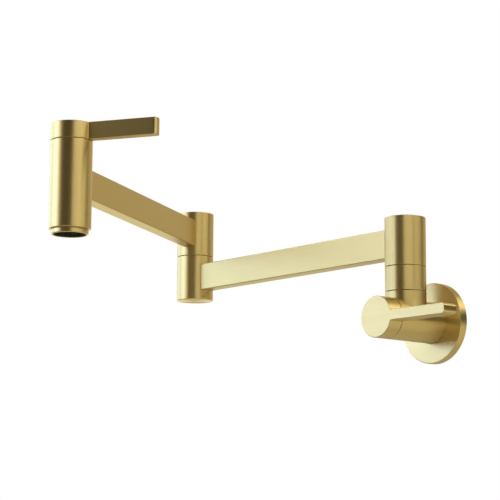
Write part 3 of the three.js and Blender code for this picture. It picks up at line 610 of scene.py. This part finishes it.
def inlet_adapter():
    """The inlet: a tapered pipe thread towards the wall, with a hexagon bore through it all."""
    skin = Skin()
    start, end = -THREAD_LENGTH, THREAD_END
    count = int((end - start) / THREAD_PITCH * THREAD_ROWS)
    heights = np.linspace(start + TIP_LENGTH, end, count)
    angles = np.linspace(0, 2 * math.pi, SIDES + 1)
    z, a = np.meshgrid(heights, angles, indexing="ij")
    phase = np.mod(z / THREAD_PITCH - a / (2 * math.pi), 1)
    crest = np.clip(np.abs(phase - 0.5) * THREAD_FLANK - THREAD_ROOT_FLAT, 0, 1)
    fade = np.clip((end - z) / RUN_OUT, 0, 1)
    fade = fade * np.clip((z - start) / LEAD_IN + LEAD_IN_SHARE, 0, 1)
    radius = THREAD_CREST_R + THREAD_TAPER * z - THREAD_DEPTH * (1 - crest) * fade
    x, y = radius * np.cos(a), radius * np.sin(a)
    skin.grid(np.stack([x, y, z], 2), np.stack([z, x, y], 2), np.stack([z, a * COLUMN_R], 2))
    # The bevelled tip, with the mouth of the hexagon bore.
    hexagon = polygon(HEX_BORE / math.sqrt(3), 6)
    rim = np.column_stack([x[0, :-1], y[0, :-1]])
    tip = rim * TIP_TAPER
    ring = np.stack([
        np.column_stack([tip, np.full(SIDES, start)]),
        np.column_stack([rim, np.full(SIDES, start + TIP_LENGTH)]),
    ])
    ring = np.concatenate([ring, ring[:, :1]], 1)
    along = np.repeat([angles * COLUMN_R], 2, 0)
    skin.grid(ring, ring[:, :, [2, 0, 1]], np.stack([ring[:, :, 2], along], 2))
    skin.flat([tip.tolist(), hexagon], start)
    # The plain spigot inside the barrel.
    spigot = rounded([
        (radius[-1, 0], end), (radius[-1, 0], SPIGOT_START),
        (SPIGOT_R, SPIGOT_START, SPIGOT_START_EDGE),
        (SPIGOT_R, SPIGOT_BACK, EDGE), (SPIGOT_R - SPIGOT_END_BEVEL, SPIGOT_BACK),
    ])
    turn(skin, spigot)
    skin.flat([polygon(spigot[-1, 0], SIDES), hexagon], SPIGOT_BACK)
    skin.walls(hexagon, start, SPIGOT_BACK)
    place_on(skin.build("inlet_fitting", LYING), "inlet_adapter")


def cartridge_cavity(mouth):
    """The corners of the stepped bore for a cartridge and its nut, from the mouth inwards."""
    ledge, bottom = mouth - LEDGE_DEPTH, mouth - CAVITY_DEPTH
    return [
        (NUT_THREAD_R, mouth, BREAK), (NUT_THREAD_R, ledge), (CAVITY_R, ledge),
        (CAVITY_R, bottom), (SEAT_HOLE_R, bottom),
    ]


def washer_socket(top):
    """The corners of the shallow socket for a thrust washer, down to the spindle's socket."""
    ledge = top - WASHER_SOCKET_DEPTH
    return [(WASHER_SOCKET_R, top, BREAK), (WASHER_SOCKET_R, ledge), (SPINDLE_SOCKET_R, ledge)]


REAR_SOCKET_DEPTH = 24.3
BODY_SCREW_D = 5.0
BODY_SCREW_TIP = 11.3
BODY_SCREW_LENGTH = 5.9
BODY_SCREW_HOLE_START = 10
BODY_SCREW_Y = -13.5
BODY_SCREW_PLACE = moved(0, BODY_SCREW_Y, 0) @ LEFTWARDS


def valve_body():
    """Barrel and upright in one: two equal cylinders that meet in a mitred line."""
    barrel_middle = -POST_Y
    cavity = cartridge_cavity(BARREL_FRONT)[::-1]
    socket = SPIGOT_R + FIT
    front = rounded([*cavity, (COLUMN_R, BARREL_FRONT, EDGE), (COLUMN_R, barrel_middle)])
    back = rounded([
        cavity[0], (SEAT_HOLE_R, REAR_SOCKET_DEPTH), (socket, REAR_SOCKET_DEPTH),
        (socket, BARREL_BACK, BREAK), (COLUMN_R, BARREL_BACK, FLANGE_BACK_EDGE),
        (COLUMN_R, barrel_middle),
    ])
    # In the first half turn a lying wall is on top, where it ends on the mitre.
    rise = lambda a: COLUMN_R * np.maximum(np.sin(a), 0)
    lying = Skin()
    turn(lying, front, mitre=(-1, lambda a: barrel_middle + rise(a)))
    turn(lying, back, mitre=(-1, lambda a: barrel_middle - rise(a)))
    # The upright stands on the same line.
    stub = rounded([
        (COLUMN_R, 0), (COLUMN_R, STUB_TOP, EDGE), *washer_socket(STUB_TOP),
        (SPINDLE_SOCKET_R, STUB_TOP - SPINDLE_SOCKET_DEPTH), (0, STUB_TOP - SPINDLE_SOCKET_DEPTH),
    ])
    standing = Skin()
    turn(standing, stub, mitre=(0, lambda a: COLUMN_R * np.abs(np.sin(a))))
    skin = Skin()
    skin.take(lying, lambda points: np.stack([points[:, 0], -points[:, 2], points[:, 1]], 1))
    skin.take(standing, lambda points: points + np.array([0, POST_Y, 0]))
    piece = skin.build("barrel")
    drill(piece, BODY_SCREW_D / 2 + FIT, BODY_SCREW_HOLE_START, PAST_COLUMN, BODY_SCREW_PLACE)
    place_on(piece, "valve_body")


# ---------------------------------------------------------------- swivels and arms

CAP_R = 15.2
CAP_HEIGHT = 2.6
CAP_SEAT_EDGE = 0.15
NUT_POCKET_R = 14.0
SHOULDER_DEPTH = 8.3  # from the top of a swivel to the ledge under its nut
ELBOW_CHAMBER_R = 8.0
ELBOW_FLOOR = 10.0


def upright(name, node, bottom, top, x, y, bores):
    """A turned cylinder between two heights. `bores` are the inner corners, from the top down."""
    corners = [(COLUMN_R, bottom, EDGE), (COLUMN_R, top, EDGE), *bores]
    place_on(turned(name, corners, moved(x, y, 0)), node)


def swivels():
    for level, place, swivel, cap in (
        (LEVEL_1, (0, POST_Y), "post_swivel", "post_cap"),
        (LEVEL_2, ELBOW, "elbow_upper", "elbow_cap"),
    ):
        top = level + LEVEL_HEIGHT
        seat, shoulder = top - CAP_HEIGHT - FIT, top - SHOULDER_DEPTH
        upright(
            f"{swivel}_shell", swivel, level, top, *place,
            [
                (CAP_R + FIT, top, CAP_SEAT_EDGE), (CAP_R + FIT, seat),
                (NUT_POCKET_R, seat), (NUT_POCKET_R, shoulder),
                (SPINDLE_SOCKET_R, shoulder), (SPINDLE_SOCKET_R, level, BREAK),
            ],
        )
        underside = top - CAP_HEIGHT
        lid = turned(
            f"{cap}_disc",
            [(0, underside), (CAP_R, underside, BREAK), (CAP_R, top, CAST_EDGE), (0, top)],
            moved(*place, 0),
            closed=False,
        )
        place_on(lid, cap)
    top = LEVEL_1 - SEAM
    upright(
        "collar", "post_collar", COLLAR_BOTTOM, top, 0, POST_Y,
        [*washer_socket(top), (SPINDLE_SOCKET_R, COLLAR_BOTTOM, BREAK)],
    )
    top = LEVEL_2 - SEAM
    foot, floor = top - SPINDLE_SOCKET_DEPTH, LEVEL_1 + ELBOW_FLOOR
    upright(
        "elbow_base", "elbow_lower", LEVEL_1, top, *ELBOW,
        [
            *washer_socket(top), (SPINDLE_SOCKET_R, foot), (ELBOW_CHAMBER_R, foot),
            (ELBOW_CHAMBER_R, floor), (0, floor), (0, LEVEL_1),
        ],
    )


ARM_WIDTH, ARM_HEIGHT, ARM_WALL, ARM_EDGE_R = 13.6, 25.8, 2.2, 0.9
ARM_PRESS = 0.03  # how far an arm's ends reach into the uprights, like a fused joint
ARM_STATIONS = 13  # along an arm
SIDE_PIECES = 14  # across a flat side of an arm's section


def bar_outline(width, height, radius):
    """The section of an arm, as [across, up] points, starting at a lower corner."""
    points = []
    for cx, cy, start in ((1, -1, -90), (1, 1, 0), (-1, 1, 90), (-1, -1, 180)):
        centre = np.array([cx * (width / 2 - radius), cy * (height / 2 - radius)])
        for k in range(CORNER_STEPS + 1):
            t = math.radians(start + 90 * k / CORNER_STEPS)
            points.append(centre + radius * np.array([math.cos(t), math.sin(t)]))
    closed = [points[0]]
    for a, b in zip(points, points[1:] + points[:1]):
        is_side = np.linalg.norm(b - a) > 3 * radius
        pieces = SIDE_PIECES if is_side else 1
        closed.extend(a + (b - a) * k / pieces for k in range(1, pieces + 1))
    return np.array(closed)


def arm(name, node, place):
    """A flat tube, coped round the uprights at both ends."""
    skin = Skin()
    outer = bar_outline(ARM_WIDTH, ARM_HEIGHT, ARM_EDGE_R)
    inner = bar_outline(ARM_WIDTH - 2 * ARM_WALL, ARM_HEIGHT - 2 * ARM_WALL, ARM_EDGE_R)
    reach = lambda y: np.sqrt((COLUMN_R - ARM_PRESS) ** 2 - y**2)
    stations = np.linspace(0, 1, ARM_STATIONS)

    def rows(outline):
        start, end = reach(outline[:, 0]), ARM_LENGTH - reach(outline[:, 0])
        x = start[None, :] + stations[:, None] * (end - start)[None, :]
        y = np.repeat(outline[:, 0][None, :], len(stations), 0)
        z = np.repeat(outline[:, 1][None, :], len(stations), 0)
        return np.stack([x, y, z], 2)

    for outline in (outer, inner):
        points = rows(outline)
        across = np.repeat(lengths(outline)[None, :], len(stations), 0)
        brush = np.stack([across, points[:, :, 0], np.zeros_like(across)], 2)
        skin.grid(points, brush, brush[:, :, :2])
    for row in (0, -1):
        ring = np.stack([rows(outer)[row], rows(inner)[row]])
        skin.grid(ring, ring[:, :, [2, 0, 1]], ring[:, :, [2, 1]])
    place_on(skin.build(name, place), node)


# ---------------------------------------------------------------- spout head

HEAD_BOTTOM_EDGE = 0.7
HEAD_BORE_R = 8.0
AERATOR_SOCKET_DEPTH = 10.7
AERATOR_R = 15.9
AERATOR_THREAD_R = 14.6
AERATOR_THREAD_LENGTH = 9.0
AERATOR_BORE_R = 13.0
AERATOR_MOUTH_R = 14.1
AERATOR_LIP = 2.4
AERATOR_RING_HEIGHT = 4.0
AERATOR_EDGE = 0.6
AERATOR_MOUTH_EDGE = 0.25
AERATOR_TOP = HEAD_BOTTOM - FIT
AERATOR_BOTTOM = AERATOR_TOP - AERATOR_RING_HEIGHT


def spout_head():
    socket, roof = AERATOR_THREAD_R + FIT, HEAD_BOTTOM + AERATOR_SOCKET_DEPTH
    under_seat = HEAD_TOP - CAVITY_DEPTH - SEAT_WEB
    tube = turned(
        "spout_tube",
        [
            (socket, HEAD_BOTTOM, CAST_EDGE), (COLUMN_R, HEAD_BOTTOM, HEAD_BOTTOM_EDGE),
            (COLUMN_R, HEAD_TOP, EDGE), *cartridge_cavity(HEAD_TOP), (SEAT_HOLE_R, under_seat),
            (HEAD_BORE_R, under_seat), (HEAD_BORE_R, roof), (socket, roof),
        ],
        moved(*HEAD, 0),
    )
    place_on(tube, "spout_head")
    thread_top, lip = AERATOR_TOP + AERATOR_THREAD_LENGTH, AERATOR_BOTTOM + AERATOR_LIP
    ring = turned(
        "aerator_ring",
        [
            (AERATOR_MOUTH_R, AERATOR_BOTTOM, AERATOR_MOUTH_EDGE),
            (AERATOR_R, AERATOR_BOTTOM, AERATOR_EDGE),
            (AERATOR_R, AERATOR_TOP, BREAK), (AERATOR_THREAD_R, AERATOR_TOP),
            (AERATOR_THREAD_R, thread_top, CAST_EDGE), (AERATOR_BORE_R, thread_top),
            (AERATOR_BORE_R, lip), (AERATOR_MOUTH_R, lip),
        ],
        moved(*HEAD, 0),
    )
    place_on(ring, "aerator_housing")


INSERT_FACE_R = 13.2
INSERT_RIM_R = 13.8
INSERT_RIM_HEIGHT = 1.8
INSERT_R = 12.7
INSERT_LENGTH = 12.0
INSERT_RECESS = 0.3
CELL_PITCH = 2.3
CELL_FLATS = 1.85
CELL_RINGS = 5  # round the middle cell
CELL_DEPTH = 4.0


def aerator_insert():
    """The black insert, with a fine honeycomb of blind cells in its face."""
    bottom = AERATOR_BOTTOM + INSERT_RECESS
    rim_top, top = bottom + INSERT_RIM_HEIGHT, bottom + INSERT_LENGTH
    skin = Skin()
    body = rounded([
        (INSERT_FACE_R, bottom), (INSERT_RIM_R, bottom, CAST_EDGE), (INSERT_RIM_R, rim_top),
        (INSERT_R, rim_top), (INSERT_R, top), (0, top),
    ])
    turn(skin, body, BORE_SIDES)
    hexagon = polygon(CELL_FLATS / math.sqrt(3), 6)
    cells = []
    for column in range(-CELL_RINGS, CELL_RINGS + 1):
        for row in range(-CELL_RINGS, CELL_RINGS + 1):
            if abs(column + row) > CELL_RINGS:
                continue
            cx = CELL_PITCH * math.sqrt(3) * column / 2
            cy = CELL_PITCH * (row + column / 2)
            cells.append([(cx + x, cy + y) for x, y in hexagon])
    skin.flat([polygon(body[0, 0], BORE_SIDES), *cells], bottom)
    for cell in cells:
        skin.walls(cell, bottom, bottom + CELL_DEPTH)
        skin.flat([cell], bottom + CELL_DEPTH)
    place_on(skin.build("honeycomb", moved(*HEAD, 0)), "aerator_insert")


# ---------------------------------------------------------------- handles

BLADE_HALF = 4.6
BLADE_REACH = 79.4  # axis of the cap to the end of the blade
BLADE_CORNER_R = 3.0
BLADE_ROOT_R = 1.0
BLADE_STATIONS = 9
CAP_STEPS = 120  # round the cap of a handle
HANDLE_THICKNESS = 14.8
HANDLE_EDGE = 0.65
HANDLE_POCKET_R = 14.5
HANDLE_POCKET_DEPTH = 5.6
HANDLE_BOSS_R = 7.0
STEM_SOCKET_R = 4.3
STEM_SOCKET_DEPTH = 11.0
HANDLE_SCREW_D = 4.0
HANDLE_SCREW_LENGTH = 8.0
HANDLE_SCREW_HEIGHT = 10.0
HANDLE_SCREW_HOLE_START = 6


def handle_outline(inset):
    """Cap and blade in one outline, the blade towards +X. Every inset has the same points."""
    cap = COLUMN_R - inset
    half = BLADE_HALF - inset
    root = BLADE_ROOT_R + inset
    corner = BLADE_CORNER_R - inset
    end = BLADE_REACH - BLADE_CORNER_R
    root_y = half + root
    root_x = math.sqrt((cap + root) ** 2 - root_y**2)
    meet = math.atan2(root_y, root_x)
    points = []

    def arc(x, y, radius, start, stop, steps=CORNER_STEPS):
        for k in range(steps + 1):
            t = start + (stop - start) * k / steps
            points.append((x + radius * math.cos(t), y + radius * math.sin(t)))

    quarter = math.pi / 2
    arc(0, 0, cap, meet, 2 * math.pi - meet, CAP_STEPS)
    points.pop()
    arc(root_x, -root_y, root, math.pi - meet, quarter)
    blade = np.linspace(root_x, end, BLADE_STATIONS)[1:-1]
    points.extend((x, -half) for x in blade)
    arc(end, -half + corner, corner, -quarter, 0)
    arc(end, half - corner, corner, 0, quarter)
    points.extend((x, half) for x in blade[::-1])
    arc(root_x, root_y, root, -quarter, meet - math.pi)
    points.pop()
    return np.array(points)


def handle(name, node, place):
    """A round cap with a flat blade along X. Its mouth, for the stem, is at the bottom."""
    skin = Skin()
    bottom, top = SEAM, SEAM + HANDLE_THICKNESS
    # The sides, with a bevel above and below.
    quarter = [k * math.pi / 2 / BEVEL_STEPS for k in range(BEVEL_STEPS + 1)]
    early = [HANDLE_EDGE * (1 - math.sin(t)) for t in quarter]
    late = [HANDLE_EDGE * (1 - math.cos(t)) for t in quarter]
    levels = [(inset, bottom + rise) for inset, rise in zip(early, late)]
    levels += [(inset, top - drop) for inset, drop in zip(late, early)]
    rings = []
    for inset, height in levels:
        outline = handle_outline(inset)
        rings.append(np.column_stack([outline, np.full(len(outline), height)]))
    rings = np.array(rings)
    rings = np.concatenate([rings, rings[:, :1]], 1)
    x, y = rings[:, :, 0], rings[:, :, 1]
    along = np.repeat(lengths(rings[BEVEL_STEPS])[None, :], len(rings), 0)
    across = np.repeat(lengths(np.array(levels))[:, None], rings.shape[1], 1)
    skin.grid(rings, np.stack([across, x, y], 2), np.stack([across, along], 2))
    # The faces, and the pocket round the boss that takes the stem.
    face = handle_outline(HANDLE_EDGE).tolist()
    skin.flat([face], top)
    skin.flat([face, polygon(HANDLE_POCKET_R, BORE_SIDES)], bottom)
    pocket, socket = bottom + HANDLE_POCKET_DEPTH, bottom + STEM_SOCKET_DEPTH
    hollow = rounded([
        (HANDLE_POCKET_R, bottom), (HANDLE_POCKET_R, pocket), (HANDLE_BOSS_R, pocket),
        (HANDLE_BOSS_R, bottom), (STEM_SOCKET_R, bottom), (STEM_SOCKET_R, socket), (0, socket),
    ])
    turn(skin, hollow, BORE_SIDES)
    piece = skin.build(name, place)
    screw_place = place @ moved(0, 0, HANDLE_SCREW_HEIGHT) @ LEFTWARDS
    drill(piece, HANDLE_SCREW_D / 2 + FIT, HANDLE_SCREW_HOLE_START, PAST_COLUMN, screw_place)
    place_on(piece, node)
    set_screw(
        f"{name}_grub", f"{node}_screw",
        HANDLE_SCREW_D, STEM_SOCKET_R, HANDLE_SCREW_LENGTH, screw_place,
    )


wall_flange()
flange_gasket()
inlet_adapter()
valve_body()
set_screw(
    "barrel_grub", "body_set_screw",
    BODY_SCREW_D, BODY_SCREW_TIP, BODY_SCREW_LENGTH, BODY_SCREW_PLACE,
)
swivels()
arm("inner_bar", "arm_1", moved(0, POST_Y, LEVEL_1 + ARM_MIDDLE, ARM_1_TURN))
arm("outer_bar", "arm_2", moved(*ELBOW, LEVEL_2 + ARM_MIDDLE, ARM_2_TURN))
spout_head()
aerator_insert()
handle("wall_lever_plate", "wall_handle", moved(0, -BARREL_FRONT, 0) @ LYING)
handle("spout_lever_plate", "spout_handle", moved(*HEAD, HEAD_TOP, SPOUT_BLADE_TURN))

# The solids that no piece replaces, such as spindles and seals, keep their shape. They get a
# finish of their own, for where they show through a seam or a port.
for name, node in frame["nodes"].items():
    slot = SLOT_OF[name]
    finish = "brass_castings" if slot in ("bare_brass", "brushed_gold") else slot
    for holder in node.material_slots:
        holder.material = FINISH[finish]

# ---------------------------------------------------------------- studio, in metres

MIDDLE = Vector((-0.12, -0.12, 0.06))
LAMP_DISTANCE = 2.0
NEAR_POST = (Vector((0, -0.04, 0.06)), 0.62)  # lamps for the post alone, and their distance


def softbox(name, azimuths, elevations, radiance, colour, seen_from=MIDDLE, distance=LAMP_DISTANCE):
    """A flat lamp that fills this span of directions, as seen from one place. The camera
    doesn't see it."""
    azimuth, elevation = sum(azimuths) / 2, sum(elevations) / 2
    across = math.radians(azimuths[1] - azimuths[0]) * math.cos(math.radians(elevation))
    up = math.radians(elevations[1] - elevations[0])
    data = bpy.data.lights.new(name, "AREA")
    data.shape = "RECTANGLE"
    data.size = 2 * distance * math.tan(across / 2)
    data.size_y = 2 * distance * math.tan(up / 2)
    data.energy = radiance * math.pi * data.size * data.size_y
    data.color = colour
    lamp = bpy.data.objects.new(name, data)
    bpy.context.scene.collection.objects.link(lamp)
    towards = bearing(azimuth, elevation)
    lamp.location = seen_from + towards * distance
    lamp.rotation_euler = towards.to_track_quat("Z", "Y").to_euler()
    lamp.visible_camera = False


def plain_stage(name, colour, points, faces):
    """A matt piece of the studio, which is no part of the object."""
    mesh = bpy.data.meshes.new(name)
    mesh.from_pydata(points, [], faces)
    stage = bpy.data.objects.new(name, mesh)
    bpy.context.scene.collection.objects.link(stage)
    mat, nodes, shader = material(name, Roughness=0.9, Specular_IOR_Level=0.1)
    shader.inputs["Base Color"].default_value = (*colour, 1)
    mesh.materials.append(mat)
    return stage, nodes, shader


FLOOR_Z = -1.5
FLOOR_RADIUS = 9.0
FLOOR_SIDES = 64
FLOOR_COLOUR = (0.86, 0.86, 0.85)
FLOOR_GLOW = (0.52, 0.57, 0.73, 1)


def floor():
    ring = [(x, y, FLOOR_Z) for x, y in polygon(FLOOR_RADIUS, FLOOR_SIDES)]
    _, nodes, shader = plain_stage("floor", FLOOR_COLOUR, ring, [list(range(FLOOR_SIDES))])
    # To the camera alone it is as pale as the backdrop. Its shading and shadows stay.
    path = nodes.add("ShaderNodeLightPath")
    shader.inputs["Emission Color"].default_value = FLOOR_GLOW
    nodes.link(path.outputs["Is Camera Ray"], shader.inputs["Emission Strength"])


BLACK = (0.008, 0.006, 0.004)
SOFT_BLACK = (0.01, 0.008, 0.006)
DARK_BROWN = (0.07, 0.054, 0.036)


def dark_card(name, colour, right, left, low, high):
    """An upright card that only shows as a dark line in the metal."""
    corners = [(*right, low), (*left, low), (*left, high), (*right, high)]
    card, _, _ = plain_stage(name, colour, corners, [(0, 1, 2, 3)])
    card.visible_camera = False
    card.visible_shadow = False
    card.visible_diffuse = False


ROOM_COLOUR = (0.49, 0.42, 0.25, 1)
ROOM_STEP = 10  # degrees
OPENING_START, OPENING_END, OPENING_TOP = 210, 270, 60  # degrees round and up


def room():
    """The warm grey room that the metal mirrors, open behind the object to the white backdrop."""
    azimuths = range(0, 360, ROOM_STEP)
    elevations = range(-ROOM_STEP, 90, ROOM_STEP)
    count = len(azimuths)
    points = [MIDDLE + bearing(a, e) * FLOOR_RADIUS for e in elevations for a in azimuths]
    points.append(MIDDLE + bearing(0, 90) * FLOOR_RADIUS)
    peak = len(points) - 1
    faces = []
    for level, elevation in enumerate(elevations):
        for k, azimuth in enumerate(azimuths):
            if OPENING_START <= azimuth < OPENING_END and elevation < OPENING_TOP:
                continue
            a, b = level * count + k, level * count + (k + 1) % count
            is_top = level == len(elevations) - 1
            faces.append((a, b, peak) if is_top else (a, b, b + count, a + count))
    dome, _, shader = plain_stage("room", (0, 0, 0), points, faces)
    shader.inputs["Emission Color"].default_value = ROOM_COLOUR
    shader.inputs["Emission Strength"].default_value = 1.0
    dome.visible_camera = False


def world():
    """White where the camera sees it, also in metal or through a clear piece, and else warm."""
    scene = bpy.context.scene
    scene.world = bpy.data.worlds.new("studio")
    scene.world.use_nodes = True
    nodes = Nodes(scene.world.node_tree)
    out = nodes.add("ShaderNodeOutputWorld")
    warm = nodes.add("ShaderNodeBackground")
    warm.inputs["Color"].default_value = ROOM_COLOUR
    white = nodes.add("ShaderNodeBackground")
    white.inputs["Color"].default_value = (1, 1, 1, 1)
    mix = nodes.add("ShaderNodeMixShader")
    path = nodes.add("ShaderNodeLightPath")
    seen = path.outputs["Is Camera Ray"]
    for kind in ("Is Glossy Ray", "Is Transmission Ray"):
        either = nodes.add("ShaderNodeMath", operation="MAXIMUM")
        nodes.link(seen, either.inputs[0])
        nodes.link(path.outputs[kind], either.inputs[1])
        seen = either.outputs[0]
    nodes.link(seen, mix.inputs[0])
    nodes.link(warm.outputs[0], mix.inputs[1])
    nodes.link(white.outputs[0], mix.inputs[2])
    nodes.link(mix.outputs[0], out.inputs[0])


floor()
dark_card("front_card", DARK_BROWN, (0.36, -0.56), (-0.24, -1.4), -0.35, 1.9)
dark_card("low_card", SOFT_BLACK, (0.0, -0.95), (-1.0, -0.2), -0.6, -0.12)
dark_card("side_card", BLACK, (1.75, -0.1), (0.7, -1.25), 0.03, 0.58)
dark_card("back_card", BLACK, (0.45, 1.6), (1.75, -0.1), 0.03, 0.72)
room()
world()
softbox("edge_front", (-16, 0), (-4, 20), 0.9, (1.0, 0.91, 0.66))
softbox("key_front", (-50, -16), (-4, 20), 1.97, (1.0, 1.37, 2.25))
softbox("high_front", (-50, -16), (20, 45), 0.87, (1.0, 1.32, 1.55))
softbox("key_side", (-95, -50), (-4, 20), 1.0, (1.0, 1.5, 2.36))
softbox("high_side", (-95, -50), (20, 45), 0.84, (1.0, 1.27, 1.26))
softbox("low_left", (-137, -95), (-22, -4), 0.67, (1.0, 1.04, 0.69))
softbox("right_high", (100, 150), (24, 50), 2.0, (1.0, 0.96, 0.72))
softbox("right_low", (100, 150), (-45, -3), 0.32, (1.0, 1.0, 0.75))
softbox("behind", (150, 223), (-22, 20), 0.1, (1.0, 0.98, 0.95))
softbox("near_high", (36, 89), (20, 47), 1.15, (1.0, 1.01, 0.9), *NEAR_POST)
softbox("near_low", (36, 89), (-33, -3), 0.75, (1.0, 1.01, 0.9), *NEAR_POST)
bpy.context.scene.view_settings.view_transform = "Standard"
